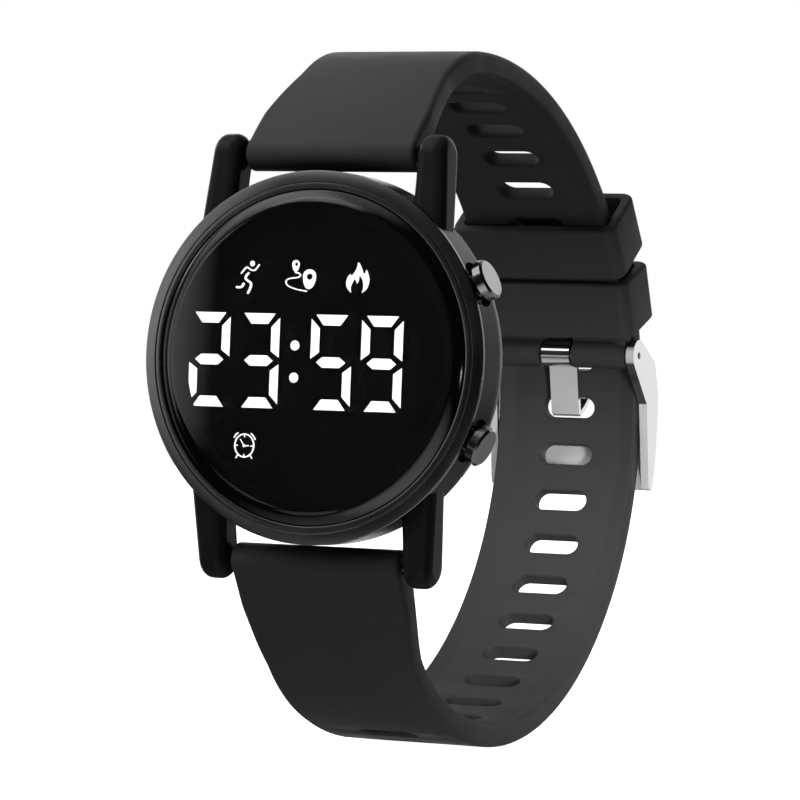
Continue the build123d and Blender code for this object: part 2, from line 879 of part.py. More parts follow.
def cheek():
    # Leaf-shaped side: an eye on the bar, a rounded shoulder and a taper down to the plate
    top = frame_plate_gap + frame_plate_thickness
    heel_radius = (top + flange_rise) * half_share
    shoulder = loop_point(cheek_shoulder_length, -cheek_shoulder_sink)
    heel = loop_point(frame_start, top - heel_radius)
    eye = Pos(bar_centre.X, bar_centre.Y) * Circle(cheek_end_radius)
    bulge = Pos(shoulder.X, shoulder.Y) * Circle(cheek_shoulder_radius)
    foot = Pos(heel.X, heel.Y) * Circle(heel_radius)
    profile = make_hull([*eye.edges(), *bulge.edges(), *foot.edges()])
    outer = ThreePointArc(loop_point(frame_start, top), loop_point(frame_plate_start, top),
                          loop_point(frame_end, top))
    rest = Polyline(loop_point(frame_end, top), loop_point(frame_end, frame_plate_gap),
                    loop_point(frame_start, -flange_rise), loop_point(frame_start, top))
    leaf = make_face([outer.edge(), *rest.edges()])
    return extrude(Plane.YZ.offset(cheek_inner_x) * (profile + leaf), cheek_thickness)


def buckle_frame():
    # Curved plate outside the strap between two cheeks on the bar
    eye = cross_rod(buckle_tip_radius + running_gap, cheek_inner_x + buckle_tip_length, bar_centre)
    arm = cheek() - eye
    plate = frame_band(frame_plate_start, frame_end, -cheek_outer_x, cheek_outer_x)
    return plate + arm + mirror(arm, about=Plane.YZ)


def tongue_outline():
    # Side view: blade along the strap's inner face, then a hook on an arc about the bar
    middle_radius = loop_radius - strap_thickness * half_share
    slot = loop_centre + direction(loop_angle(tongue_slot_length)) * middle_radius - bar_centre
    reach = slot.length
    angle = math.degrees(math.atan2(slot.Y, slot.X))
    depth = strap_thickness * half_share
    sheet = tongue_thickness * half_share
    inside = math.degrees((depth + sheet + tongue_slot_gap) / reach)
    outside = math.degrees((depth + tongue_overhang) / reach)
    wrap_radius = tongue_barrel_radius - sheet
    tangent = angle - inside + math.degrees(math.acos(wrap_radius / reach))
    arc = CenterArc((0, 0), reach, angle - inside, inside + outside)
    start = direction(tangent) * wrap_radius
    hook = trace(arc, tongue_thickness)
    blade = trace(Line((start.X, start.Y), arc @ 0), tongue_thickness)
    return Pos(bar_centre.X, bar_centre.Y) * (hook + blade)


def buckle_tongue():
    # Barrel on the bar, blade and hook
    half = tongue_width * half_share
    body = cross_rod(tongue_barrel_radius, half, bar_centre)
    body = body + extrude(Plane.YZ.offset(-half) * tongue_outline(), tongue_width)
    return body - cross_rod(buckle_bar_radius + running_gap, half + overrun, bar_centre)


def save(name, shape):
    # One STEP file for each piece
    if isinstance(shape, list):
        shape = Compound(children=shape)
    export_step(shape, os.path.join("parts", name + ".step"))


def main():
    os.makedirs("parts", exist_ok=True)
    save("case_body", case_body())
    save("bezel_ring", bezel_ring())
    save("lens", lens())
    save("lens_gasket", lens_gasket())
    save("display_frame", display_frame())
    save("digit_lit_segments", segments(True))
    save("digit_dark_segments", segments(False))
    save("circuit_board", circuit_board())
    save("button_switches", button_switches())
    save("battery_contact", battery_contact())
    save("battery", battery())
    save("vibration_motor", vibration_motor())
    save("module_holder", module_holder())
    save("case_back", case_back())
    save("back_gasket", seal_ring(0))
    save("back_screws", back_screws())
    for side, name in ((1, "upper"), (-1, "lower")):
        plane = pusher_plane(side)
        save("pusher_" + name, plane * pusher())
        save("pusher_" + name + "_clip", plane * pusher_clip())
        save("pusher_" + name + "_seal", plane * pusher_seal())
        save("pusher_" + name + "_spring", plane * pusher_spring())
        save(name + "_bar_tube", bar_tube(side))
        save(name + "_bar_tips", bar_tips(side))
    save("strap_buckle_half", strap_buckle_half())
    save("strap_hole_half", strap_hole_half())
    save("keeper_fixed", keeper_fixed())
    save("keeper_free", keeper_free())
    save("buckle_bar", buckle_bar())
    save("buckle_frame", buckle_frame())
    save("buckle_tongue", buckle_tongue())


main()
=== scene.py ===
import math

import bmesh
import bpy
from mathutils import Matrix, Vector


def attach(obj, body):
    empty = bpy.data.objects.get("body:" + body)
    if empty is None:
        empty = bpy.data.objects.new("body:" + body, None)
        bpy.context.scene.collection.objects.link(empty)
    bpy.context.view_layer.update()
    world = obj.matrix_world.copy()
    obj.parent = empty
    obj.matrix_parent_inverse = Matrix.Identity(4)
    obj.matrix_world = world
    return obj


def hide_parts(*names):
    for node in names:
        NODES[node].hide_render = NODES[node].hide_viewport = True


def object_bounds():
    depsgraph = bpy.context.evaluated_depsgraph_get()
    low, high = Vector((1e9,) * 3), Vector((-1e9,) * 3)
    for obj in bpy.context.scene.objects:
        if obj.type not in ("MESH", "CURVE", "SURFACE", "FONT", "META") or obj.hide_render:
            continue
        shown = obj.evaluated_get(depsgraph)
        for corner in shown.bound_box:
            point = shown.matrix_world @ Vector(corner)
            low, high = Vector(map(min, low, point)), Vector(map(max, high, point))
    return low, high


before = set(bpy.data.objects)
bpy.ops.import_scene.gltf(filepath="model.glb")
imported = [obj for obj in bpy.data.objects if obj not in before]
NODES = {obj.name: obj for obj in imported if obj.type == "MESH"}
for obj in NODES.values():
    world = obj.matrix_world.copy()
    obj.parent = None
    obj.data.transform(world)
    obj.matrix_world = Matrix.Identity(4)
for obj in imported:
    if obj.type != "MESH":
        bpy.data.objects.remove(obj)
cad_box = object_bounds()
MM = 0.001

# Camera
# Angle, distance and lens worked out from the outline of the bezel in the photograph
CAM_AZ, CAM_EL, CAM_ROLL = 24.837, -0.502, 2.146
CAM_DIST, CAM_TX, CAM_TY = 438.32, -9.536, 4.526
CAM_LENS = 185.317
FRONT = -8.8


def make_camera():
    az, el, roll = (math.radians(v) for v in (CAM_AZ, CAM_EL, CAM_ROLL))
    back = Vector((math.sin(az) * math.cos(el), -math.cos(az) * math.cos(el), math.sin(el)))
    right = Vector((math.cos(az), math.sin(az), 0))
    up = back.cross(right)
    right2 = right * math.cos(roll) + up * math.sin(roll)
    up2 = up * math.cos(roll) - right * math.sin(roll)
    place = back * CAM_DIST - right2 * CAM_TX - up2 * CAM_TY + Vector((0, FRONT, 0))
    data = bpy.data.cameras.new("camera")
    data.lens = CAM_LENS
    data.sensor_width = 36
    data.clip_start = 0.01
    data.clip_end = 20
    cam = bpy.data.objects.new("camera", data)
    turn = Matrix((right2, up2, back)).transposed().to_4x4()
    cam.matrix_world = Matrix.Translation(place * MM) @ turn
    bpy.context.scene.collection.objects.link(cam)
    bpy.context.scene.camera = cam


make_camera()


# Materials
def new_material(name):
    mat = bpy.data.materials.new(name)
    mat.use_nodes = True
    nt = mat.node_tree
    return mat, nt, nt.nodes["Principled BSDF"]


def add(nt, kind, **values):
    node = nt.nodes.new(kind)
    for key, value in values.items():
        setattr(node, key, value)
    return node


def ramp(nt, source, lo, hi, a, b):
    """Maps a value from one range to another, held at both ends."""
    node = add(nt, "ShaderNodeMapRange")
    nt.links.new(source, node.inputs["Value"])
    for key, value in (("From Min", lo), ("From Max", hi), ("To Min", a), ("To Max", b)):
        node.inputs[key].default_value = value
    return node.outputs["Result"]


def combine(nt, operation, first, second):
    """Math node on a socket and a second socket or number."""
    node = add(nt, "ShaderNodeMath", operation=operation)
    nt.links.new(first, node.inputs[0])
    if isinstance(second, float):
        node.inputs[1].default_value = second
    else:
        nt.links.new(second, node.inputs[1])
    return node.outputs[0]


def tint(nt, bsdf, factor, dark, light):
    node = add(nt, "ShaderNodeMix", data_type="RGBA")
    nt.links.new(factor, node.inputs["Factor"])
    node.inputs[6].default_value = (*dark, 1)
    node.inputs[7].default_value = (*light, 1)
    nt.links.new(node.outputs[2], bsdf.inputs["Base Color"])


def bump(nt, bsdf, height, strength, distance):
    node = add(nt, "ShaderNodeBump")
    node.inputs["Strength"].default_value = strength
    node.inputs["Distance"].default_value = distance
    nt.links.new(height, node.inputs["Height"])
    nt.links.new(node.outputs["Normal"], bsdf.inputs["Normal"])


def noise(nt, scale, detail=3.0, rough=0.5, stretch=None):
    coord = add(nt, "ShaderNodeTexCoord")
    source = coord.outputs["Object"]
    if stretch:
        mapping = add(nt, "ShaderNodeMapping")
        mapping.inputs["Scale"].default_value = stretch
        nt.links.new(source, mapping.inputs["Vector"])
        source = mapping.outputs["Vector"]
    node = add(nt, "ShaderNodeTexNoise")
    node.inputs["Scale"].default_value = scale
    node.inputs["Detail"].default_value = detail
    node.inputs["Roughness"].default_value = rough
    nt.links.new(source, node.inputs["Vector"])
    return node.outputs["Fac"]


def surface(name, dark, light, rough, metallic=0.0, grain=900.0, bump_mm=0.004, rough_spread=0.05,
            coat=0.0, specular=0.5, stretch=None):
    """Material with a fine grain in colour, roughness and relief."""
    mat, nt, bsdf = new_material(name)
    fine = noise(nt, grain, 4.0, 0.6, stretch)
    broad = noise(nt, grain / 14, 2.0, 0.5, stretch)
    tint(nt, bsdf, broad, dark, light)
    result = ramp(nt, broad, 0.3, 0.7, rough - rough_spread, rough + rough_spread)
    nt.links.new(result, bsdf.inputs["Roughness"])
    bump(nt, bsdf, fine, 1.0, bump_mm * MM)
    bsdf.inputs["Metallic"].default_value = metallic
    bsdf.inputs["Specular IOR Level"].default_value = specular
    bsdf.inputs["Coat Weight"].default_value = coat
    bsdf.inputs["Coat Roughness"].default_value = 0.06
    return mat


def glow(name, colour, strength):
    mat, nt, bsdf = new_material(name)
    bsdf.inputs["Base Color"].default_value = (*colour, 1)
    bsdf.inputs["Emission Color"].default_value = (*colour, 1)
    bsdf.inputs["Emission Strength"].default_value = strength
    level = ramp(nt, noise(nt, 400, 1.0), 0.3, 0.7, 0.5, 0.6)
    nt.links.new(level, bsdf.inputs["Roughness"])
    return mat


def glass(name):
    mat, nt, bsdf = new_material(name)
    bsdf.inputs["Base Color"].default_value = (0.8, 0.8, 0.82, 1)
    bsdf.inputs["Transmission Weight"].default_value = 1.0
    bsdf.inputs["IOR"].default_value = 1.12
    bsdf.inputs["Coat Weight"].default_value = 1.0
    bsdf.inputs["Coat Roughness"].default_value = 0.02
    level = ramp(nt, noise(nt, 60, 2.0), 0.3, 0.7, 0.01, 0.03)
    nt.links.new(level, bsdf.inputs["Roughness"])
    return mat


M_STRAP = surface("silicone", (0.038, 0.036, 0.037), (0.045, 0.043, 0.044), 0.52, grain=4200,
                  bump_mm=0.006, rough_spread=0.05, specular=0.07)
M_CASE = surface("case_coat", (0.013, 0.013, 0.014), (0.018, 0.017, 0.018), 0.20, grain=2500,
                 bump_mm=0.0006, rough_spread=0.03, specular=0.05)
M_BEZEL = surface("bezel_coat", (0.15, 0.145, 0.15), (0.19, 0.185, 0.19), 0.26, metallic=1.0,
                  grain=2200, bump_mm=0.0006, rough_spread=0.03)
M_STEEL, M_BUCKLE = [
    surface(name, (0.84, 0.83, 0.84), (0.90, 0.89, 0.90), 0.12, metallic=1.0, grain=2500,
            bump_mm=0.0006, rough_spread=0.03) for name in ("polished_steel", "buckle_steel")]
M_DARK_STEEL = surface("dark_steel", (0.22, 0.215, 0.22), (0.27, 0.265, 0.27), 0.16, metallic=1.0,
                       grain=2500, bump_mm=0.0006, rough_spread=0.04)
# Spring colour is far darker than steel: painted shade for the dark recess between each pusher cap
# and the case.
M_SPRING_PAINTED_SHADE = surface("spring_steel_painted_shade", (0.045, 0.045, 0.048), (0.06, 0.06, 0.063), 0.35, metallic=1.0,
                   grain=2500, bump_mm=0.0006)
M_PIN = surface("pin_end_steel", (0.12, 0.12, 0.12), (0.18, 0.18, 0.18), 0.3, metallic=1.0,
                grain=2500, bump_mm=0.0006)
M_BACK = surface("back_steel", (0.36, 0.36, 0.37), (0.46, 0.46, 0.47), 0.32, metallic=1.0,
                 grain=1400, bump_mm=0.003, rough_spread=0.06, stretch=(0.06, 1, 1))
M_MODULE = surface("module_black", (0.0015, 0.0015, 0.0015), (0.003, 0.003, 0.003), 0.6, grain=1200,
                   specular=0.05)
M_HOLDER = surface("holder_grey", (0.08, 0.08, 0.085), (0.12, 0.12, 0.125), 0.5, grain=1200)
M_BOARD = surface("board_green", (0.01, 0.10, 0.04), (0.02, 0.16, 0.07), 0.4, grain=900, coat=0.3)
M_BRASS = surface("brass", (0.62, 0.44, 0.18), (0.75, 0.56, 0.26), 0.3, metallic=1.0, grain=1500)
M_RUBBER = surface("seal_rubber", (0.012, 0.012, 0.012), (0.02, 0.02, 0.02), 0.6, grain=3000)
M_LIT = glow("lit_white", (1, 1, 1), 1.12)
M_INK = surface("lens_ink", (0.0015, 0.0015, 0.0015), (0.003, 0.003, 0.003), 0.09, grain=900,
                bump_mm=0.0002, rough_spread=0.02)
M_GLASS = glass("lens_glass")


def satin_inside(mat, rough=0.62):
    """Brushed inner face of the buckle's plate, which looks towards the case."""
    nt = mat.node_tree
    bsdf = nt.nodes["Principled BSDF"]
    split = add(nt, "ShaderNodeSeparateXYZ")
    nt.links.new(add(nt, "ShaderNodeNewGeometry").outputs["Normal"], split.inputs[0])
    inside = ramp(nt, split.outputs["Y"], -0.90, -0.80, 1.0, 0.0)
    polished = bsdf.inputs["Roughness"].links[0].from_socket
    mix = add(nt, "ShaderNodeMix", data_type="FLOAT")
    nt.links.new(inside, mix.inputs["Factor"])
    nt.links.new(polished, mix.inputs[2])
    mix.inputs[3].default_value = rough
    nt.links.new(mix.outputs[0], bsdf.inputs["Roughness"])


satin_inside(M_BUCKLE)

NODE_MATERIALS = {
    "case_body": M_CASE, "bezel_ring": M_BEZEL, "lens": M_GLASS, "lens_gasket": M_RUBBER,
    "display_frame": M_MODULE, "digit_lit_segments": M_LIT, "digit_dark_segments": M_MODULE,
    "circuit_board": M_BOARD, "button_switches": M_DARK_STEEL, "battery_contact": M_BRASS,
    "battery": M_BACK, "vibration_motor": M_BACK, "module_holder": M_HOLDER, "case_back": M_BACK,
    "back_gasket": M_RUBBER, "back_screws": M_STEEL, "strap_buckle_half": M_STRAP,
    "strap_hole_half": M_STRAP, "keeper_fixed": M_STRAP, "keeper_free": M_STRAP,
    "buckle_bar": M_STEEL, "buckle_frame": M_BUCKLE, "buckle_tongue": M_STEEL,
    "upper_bar_tube": M_DARK_STEEL, "upper_bar_tips": M_STEEL, "lower_bar_tube": M_DARK_STEEL,
    "lower_bar_tips": M_STEEL,
}
for side in ("upper", "lower"):
    NODE_MATERIALS["pusher_" + side] = M_DARK_STEEL
    NODE_MATERIALS["pusher_" + side + "_clip"] = M_STEEL
    # The springs take the dark colour that is painted shade for the pusher recess.
    NODE_MATERIALS["pusher_" + side + "_spring"] = M_SPRING_PAINTED_SHADE
    NODE_MATERIALS["pusher_" + side + "_seal"] = M_RUBBER
for name, mat in NODE_MATERIALS.items():
    ob = NODES[name]
    if not ob.material_slots:
        ob.data.materials.append(mat)
    for s in ob.material_slots:
        s.material = mat


# Mesh tools, lengths in millimetres
def piece(name, verts, faces, mat, angle=32):
    mesh = bpy.data.meshes.new(name)
    mesh.from_pydata([Vector(v) * MM for v in verts], [], faces)
    bm = bmesh.new()
    bm.from_mesh(mesh)
    bmesh.ops.remove_doubles(bm, verts=bm.verts, dist=1e-7)
    bmesh.ops.recalc_face_normals(bm, faces=bm.faces)
    bm.to_mesh(mesh)
    bm.free()
    mesh.materials.append(mat)
    smooth(mesh, angle)
    ob = bpy.data.objects.new(name, mesh)
    bpy.context.scene.collection.objects.link(ob)
    return ob


def smooth(mesh, angle):
    mesh.shade_smooth()
    mesh.set_sharp_from_angle(angle=math.radians(angle))


def direction(degrees):
    return Vector((math.cos(math.radians(degrees)), math.sin(math.radians(degrees))))


def rounded(points, radii, steps=6, closed=True):
    """Corner points with arcs of the given radii in place of the corners."""
    out = []
    count = len(points)
    for i, (p, r) in enumerate(zip(points, radii)):
        p = Vector(p)
        if r == 0 or (not closed and i in (0, count - 1)):
            out.append(p)
            continue
        a = (Vector(points[i - 1]) - p).normalized()
        b = (Vector(points[(i + 1) % count]) - p).normalized()
        half = a.angle(b) / 2
        cut = r / math.tan(half)
        centre = p + (a + b).normalized() * (r / math.sin(half))
        start = p + a * cut - centre
        end = p + b * cut - centre
        sweep_angle = start.angle_signed(end)
        for k in range(steps + 1):
            turn = Matrix.Rotation(-sweep_angle * k / steps, 2)
            out.append(centre + turn @ start)
    return out


def lathe(name, profile, mat, segments, closed=True, place=None, angle=32):
    """Profile of (radius, depth) turned about Y, or about the axis of a placed frame."""
    verts, faces = [], []
    count = len(profile)
    for k in range(segments):
        out = direction(360 * k / segments)
        for r, y in profile:
            v = Vector((out.x * r, y, out.y * r))
            verts.append(place @ v if place else v)
    last = count if closed else count - 1
    for k in range(segments):
        n = (k + 1) % segments
        for i in range(last):
            j = (i + 1) % count
            quad = [k * count + i, k * count + j, n * count + j, n * count + i]
            faces.append(quad)
    return piece(name, verts, faces, mat, angle)


def tube_faces(rings, count):
    """Quads between closed loops of equal length, with both ends capped."""
    faces = [list(range(count))[::-1]]
    for k in range(rings - 1):
        for i in range(count):
            j = (i + 1) % count
            faces.append([k * count + i, k * count + j, (k + 1) * count + j, (k + 1) * count + i])
    faces.append([(rings - 1) * count + i for i in range(count)])
    return faces


def evaluated(ob):
    """Applies the modifiers of an object."""
    graph = bpy.context.evaluated_depsgraph_get()
    mesh = bpy.data.meshes.new_from_object(ob.evaluated_get(graph))
    ob.modifiers.clear()
    ob.data = mesh
    return ob


def boolean(ob, other, how):
    mod = ob.modifiers.new("cut", "BOOLEAN")
    mod.operation = how
    mod.solver = "EXACT"
    mod.object = other
    evaluated(ob)
    bpy.data.objects.remove(other)
    return ob


# Bezel and lens
BEZEL_R, BEZEL_BORE, BEZEL_LIP, BEZEL_SIDE = 20.0, 18.02, 18.2, 0.65
CONE_DROP = 0.21
GROOVE_IN, GROOVE_OUT, GROOVE_DEEP = 18.62, 18.80, 0.16
LENS_SIDE, LENS_EDGE, LENS_BACK, LENS_SHOULDER = 17.9, 17.82, 1.0, 0.09
RIM_R, RIM_STEP, DOME_R, DOME_RISE = 17.1, 0.14, 16.8, 0.6
LENS_RISE = 0.55
INK_R, BORDER_R = 16.82, 15.2


def build_front():
    seat = FRONT + BEZEL_SIDE
    floor = FRONT + GROOVE_DEEP
    points = [(BEZEL_BORE, seat), (BEZEL_BORE, FRONT + 0.02), (BEZEL_LIP, FRONT),
              (GROOVE_IN, FRONT + 0.03), (GROOVE_IN + 0.04, floor),
              (GROOVE_OUT - 0.04, floor), (GROOVE_OUT, FRONT + 0.04),
              (BEZEL_R - 0.02, FRONT + CONE_DROP), (BEZEL_R, seat)]
    radii = (0, 0.06, 0, 0.02, 0.02, 0.02, 0.03, 0.09, 0.04)
    bezel = lathe("bezel", rounded(points, radii), M_BEZEL, 256, angle=24)
    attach(bezel, "case")
    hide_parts("bezel_ring")
    rim_front = FRONT - LENS_RISE
    apex = rim_front - DOME_RISE
    profile = [(0.0, apex)]
    steps = 28
    for k in range(1, steps + 1):
        share = k / steps
        profile.append((DOME_R * share, apex + DOME_RISE * share * share))
    back = FRONT + LENS_BACK
    profile += [(RIM_R, rim_front + RIM_STEP), (LENS_EDGE, FRONT),
                (LENS_SIDE, FRONT + LENS_SHOULDER), (LENS_SIDE, back),
                (BORDER_R, back), (0.0, back)]
    dome = lathe("lens_dome", profile, M_GLASS, 256, closed=False, angle=25)
    dome.data.materials.append(M_INK)
    dome.data.materials.append(M_MODULE)
    for face in dome.data.polygons:
        middle = face.center / MM
        radius = math.hypot(middle.x, middle.z)
        if middle.y > back - 0.05 and radius > BORDER_R + 0.3:
            face.material_index = 2
        elif radius > INK_R:
            face.material_index = 1
    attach(dome, "case")
    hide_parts("lens")


build_front()


# Straps: the part's own routes, with rounded edges and slot rims
BAR_Y, BAR_Z = -4.5, 22.0
BARREL_R = 1.9
UPPER_START = 47.7
UPPER_LEGS = ((46.8, -18.8), (16.8, -25.0), (50.6, -44.9), (37.5, -35.2))
LOWER_START, LOWER_FIRST = -57.1, ((0, 8.8), (23.6, 33.0))
KEEPER_PATH_R = 37.5
TAIL_R, TAIL_LENGTH = 40.4, 18.8
TUBE_R = 1.65
SLOT_PITCH, SLOT_R, UPPER_SLOT_R, SLOT_REACH = 6.1, 1.3, 1.4, 2.1
UPPER_SLOTS, FIRST_UPPER_SLOT = 6, 18.1
SLOTS_BEFORE, SLOTS_AFTER, SLOT_TO_JOIN = 12, 4, 7.6
THICK, RIM, RIM_SLOPE = 2.1, 0.5, 2.1
HALF_WIDTH, TAPER, TAPER_START, TAPER_LENGTH = 10.0, 1.0, 5.0, 8.0
THICK_END, TAIL_ROUND, TAIL_BLUNT = 5.0, 4.0, 0.96
TUBE_HALF, BAR_BORE, PIN_BORE, BORE_HALF, NOTCH_HALF = 9.0, 0.8, 0.85, 12.0, 2.15
BARREL_EDGE, TUBE_EDGE = 0.5, 0.15


def walk(start, heading, legs, step=0.8):
    """Stations (point, heading, distance) along (0, length) or (radius, turn) legs."""
    point, gone = Vector(start), 0.0
    out = [(point.copy(), heading, gone)]
    for radius, amount in legs:
        length = amount if radius == 0 else abs(math.radians(amount)) * radius
        count = max(2, round(length / step))
        begin, first = point.copy(), heading
        for k in range(1, count + 1):
            part = k / count
            if radius == 0:
                point = begin + direction(first) * amount * part
            else:
                sign = math.copysign(1, amount)
                centre = begin + direction(first + 90 * sign) * radius
                heading = first + amount * part
                point = centre - direction(heading + 90 * sign) * radius
            out.append((point.copy(), heading, gone + length * part))
        gone += length
    return out


def biarc_legs(start, heading, end, end_heading, share):
    """Two left turns that join two points smoothly."""
    turn = end_heading - heading

    def travel(at, by):
        a, b = direction(at), direction(at + by)
        return Vector((b.y - a.y, a.x - b.x))

    first = travel(heading, turn * share)
    second = travel(heading + turn * share, turn - turn * share)
    gap = end - start
    scale = first.x * second.y - first.y * second.x
    one = (gap.x * second.y - gap.y * second.x) / scale
    two = (first.x * gap.y - first.y * gap.x) / scale
    return ((one, turn * share), (two, turn - turn * share))


UPPER_ROOT = Vector((BAR_Y, BAR_Z)) + direction(UPPER_START + 90) * BARREL_R
LOWER_ROOT = Vector((BAR_Y, -BAR_Z)) + direction(LOWER_START - 90) * BARREL_R
UPPER = walk(UPPER_ROOT, UPPER_START, UPPER_LEGS)
UPPER_END, UPPER_HEADING, UPPER_LENGTH = UPPER[-1]
WRAP = UPPER_HEADING + 90
WRAP_CENTRE = UPPER_END - direction(WRAP) * KEEPER_PATH_R
PIN_CENTRE = UPPER_END - direction(WRAP) * TUBE_R
JOIN = WRAP_CENTRE + direction(WRAP) * TAIL_R
MIDDLE, MIDDLE_HEADING, _ = walk(LOWER_ROOT, LOWER_START, LOWER_FIRST)[-1]
LOWER_LEGS = LOWER_FIRST + biarc_legs(MIDDLE, MIDDLE_HEADING, JOIN, WRAP + 90, 0.6)
LOWER_LEGS += ((TAIL_R, math.degrees(TAIL_LENGTH / TAIL_R)),)
LOWER = walk(LOWER_ROOT, LOWER_START, LOWER_LEGS)
LOWER_LENGTH = LOWER[-1][2]
JOIN_DISTANCE = LOWER_LENGTH - TAIL_LENGTH


def station(route, distance):
    """Point and heading on a route at a distance, carried on past its last station."""
    for (p, a, s), (q, b, e) in zip(route, route[1:]):
        if distance <= e:
            break
    t = (distance - s) / (e - s)
    return p.lerp(q, t), a + (b - a) * t


def on_route(route, side, distance, x, depth):
    """A point at a distance along a route, across it by x and below its outer face by a depth."""
    p, heading = station(route, distance)
    t = direction(heading)
    return Vector((x, p.x + side * t.y * depth, p.y - side * t.x * depth))


def strap_widths(distance, length, tail):
    """Half width and thickness at a distance along a strap."""
    half = HALF_WIDTH - TAPER * max(0.0, min(1.0, (distance - TAPER_START) / TAPER_LENGTH))
    swell = 2 * BARREL_R - RIM - THICK
    thick = THICK + swell * max(0.0, 1 - distance / THICK_END)
    back = (distance - length + TAIL_ROUND) / TAIL_ROUND
    if tail and back > 0:
        half -= TAIL_ROUND * (1 - math.sqrt(1 - TAIL_BLUNT * back * back))
    return half, thick


def strap_outline(half, thick):
    """Section with rounded outer edges and raised, rounded rims inside."""
    top = thick + RIM
    slope = half - RIM_SLOPE
    points = [(-half, 0), (half, 0), (half, top), (slope, thick), (-slope, thick), (-half, top)]
    return rounded(points, (0.66, 0.66, 0.28, 3.0, 3.0, 0.28), 5)


def strap_band(name, route, side, tail):
    length = route[-1][2]
    verts = []
    for _, _, distance in route:
        half, thick = strap_widths(distance, length, tail)
        outline = strap_outline(half, thick)
        verts += [on_route(route, side, distance, p.x, p.y) for p in outline]
    return piece(name, verts, tube_faces(len(route), len(outline)), M_STRAP, 32)


def along_x(centre):
    """Frame at a (y, z) centre whose own Y runs along X."""
    return Matrix.Translation((0, centre.x, centre.y)) @ Matrix.Rotation(-math.pi / 2, 4, "Z")


def rod_x(name, radius, half, centre, edge=0.0, segments=72):
    """Cylinder along X with rounded ends."""
    profile = [(0, -half), (radius, -half), (radius, half), (0, half)]
    if edge:
        profile = rounded(profile, (0, edge, edge, 0), 5, closed=False)
    return lathe(name, [(p[0], p[1]) for p in profile], M_STRAP, segments, closed=False,
                 place=along_x(centre))


def slot_cutter(route, side, distance, wide, fillet=0.28):
    """Loops of a round-ended cutter that leaves rounded rims on both faces."""
    steps = (90, 65, 42, 22)
    near = []
    for angle in steps:
        turn = math.radians(angle)
        near.append((fillet - fillet * math.sin(turn), fillet - fillet * math.cos(turn)))
    grow, depth = near[-1]
    lean = math.radians(steps[-1])
    near.append((grow + math.cos(lean) * 1.0, depth - math.sin(lean) * 1.0))
    levels = near[::-1] + [(g, THICK - u) for g, u in near]
    loops = []
    for grow, depth in levels:
        radius = wide + grow
        loop = []
        for k in range(36):
            d = direction(10 * k + 5)
            x = math.copysign(SLOT_REACH, d.x) + radius * d.x
            loop.append(on_route(route, side, distance + radius * d.y, x, depth))
        loops.append(loop)
    return loops


def cut_slots(band, route, side, distances, wide):
    verts, faces = [], []
    for distance in distances:
        loops = slot_cutter(route, side, distance, wide)
        start = len(verts)
        for loop in loops:
            verts += loop
        around = tube_faces(len(loops), len(loops[0]))
        faces += [[start + i for i in face] for face in around]
    return boolean(band, piece("slots", verts, faces, M_STRAP), "DIFFERENCE")


def block(name, low, high):
    """Closed box used only as a cutter."""
    corners = [(low[0], low[2]), (high[0], low[2]), (high[0], high[2]), (low[0], high[2])]
    verts = [(x, y, z) for y in (low[1], high[1]) for x, z in corners]
    return piece(name, verts, tube_faces(2, 4), M_STRAP)


def build_straps():
    top_bar, low_bar = Vector((BAR_Y, BAR_Z)), Vector((BAR_Y, -BAR_Z))
    upper = strap_band("strap_upper_band", UPPER, 1, False)
    upper = boolean(upper, rod_x("barrel", BARREL_R, HALF_WIDTH, top_bar, BARREL_EDGE), "UNION")
    upper = boolean(upper, rod_x("tube", TUBE_R, TUBE_HALF, PIN_CENTRE, TUBE_EDGE), "UNION")
    first = UPPER_LENGTH - FIRST_UPPER_SLOT
    places = [first - k * SLOT_PITCH for k in range(UPPER_SLOTS)]
    upper = cut_slots(upper, UPPER, 1, places, UPPER_SLOT_R)
    upper = boolean(upper, rod_x("bore", BAR_BORE, BORE_HALF, top_bar), "DIFFERENCE")
    upper = boolean(upper, rod_x("bore", PIN_BORE, BORE_HALF, PIN_CENTRE), "DIFFERENCE")
    low = (-NOTCH_HALF, PIN_CENTRE.x - 2.0, PIN_CENTRE.y - 3.0)
    high = (NOTCH_HALF, PIN_CENTRE.x + 3.0, PIN_CENTRE.y + 2.0)
    upper = boolean(upper, block("notch", low, high), "DIFFERENCE")
    lower = strap_band("strap_lower_band", LOWER, -1, True)
    lower = boolean(lower, rod_x("barrel", BARREL_R, HALF_WIDTH, low_bar, BARREL_EDGE), "UNION")
    first = JOIN_DISTANCE - SLOT_TO_JOIN
    places = [first + k * SLOT_PITCH for k in range(-SLOTS_BEFORE, SLOTS_AFTER)]
    lower = cut_slots(lower, LOWER, -1, places, SLOT_R)
    lower = boolean(lower, rod_x("bore", BAR_BORE, BORE_HALF, low_bar), "DIFFERENCE")
    for ob, node, body in ((upper, "strap_buckle_half", "strap_upper"),
                           (lower, "strap_hole_half", "strap_lower")):
        smooth(ob.data, 38)
        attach(ob, body)
        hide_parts(node)


build_straps()


# Keepers and the ends of the buckle's pin
KEEPER_MID_R = 37.55
KEEPER_INNER, KEEPER_OUTER = (18.6, 6.3, 0.8), (21.0, 8.7, 1.6)
KEEPER_HALF, FIXED_AT, FREE_AT = 3.5, 6.6, 15.2
PIN_END_R, CHEEK_FACE = 0.42, 10.4


def rounded_rectangle(width, height, radius):
    x, y = width / 2, height / 2
    return rounded([(-x, -y), (x, -y), (x, y), (-x, y)], (radius,) * 4, 8)


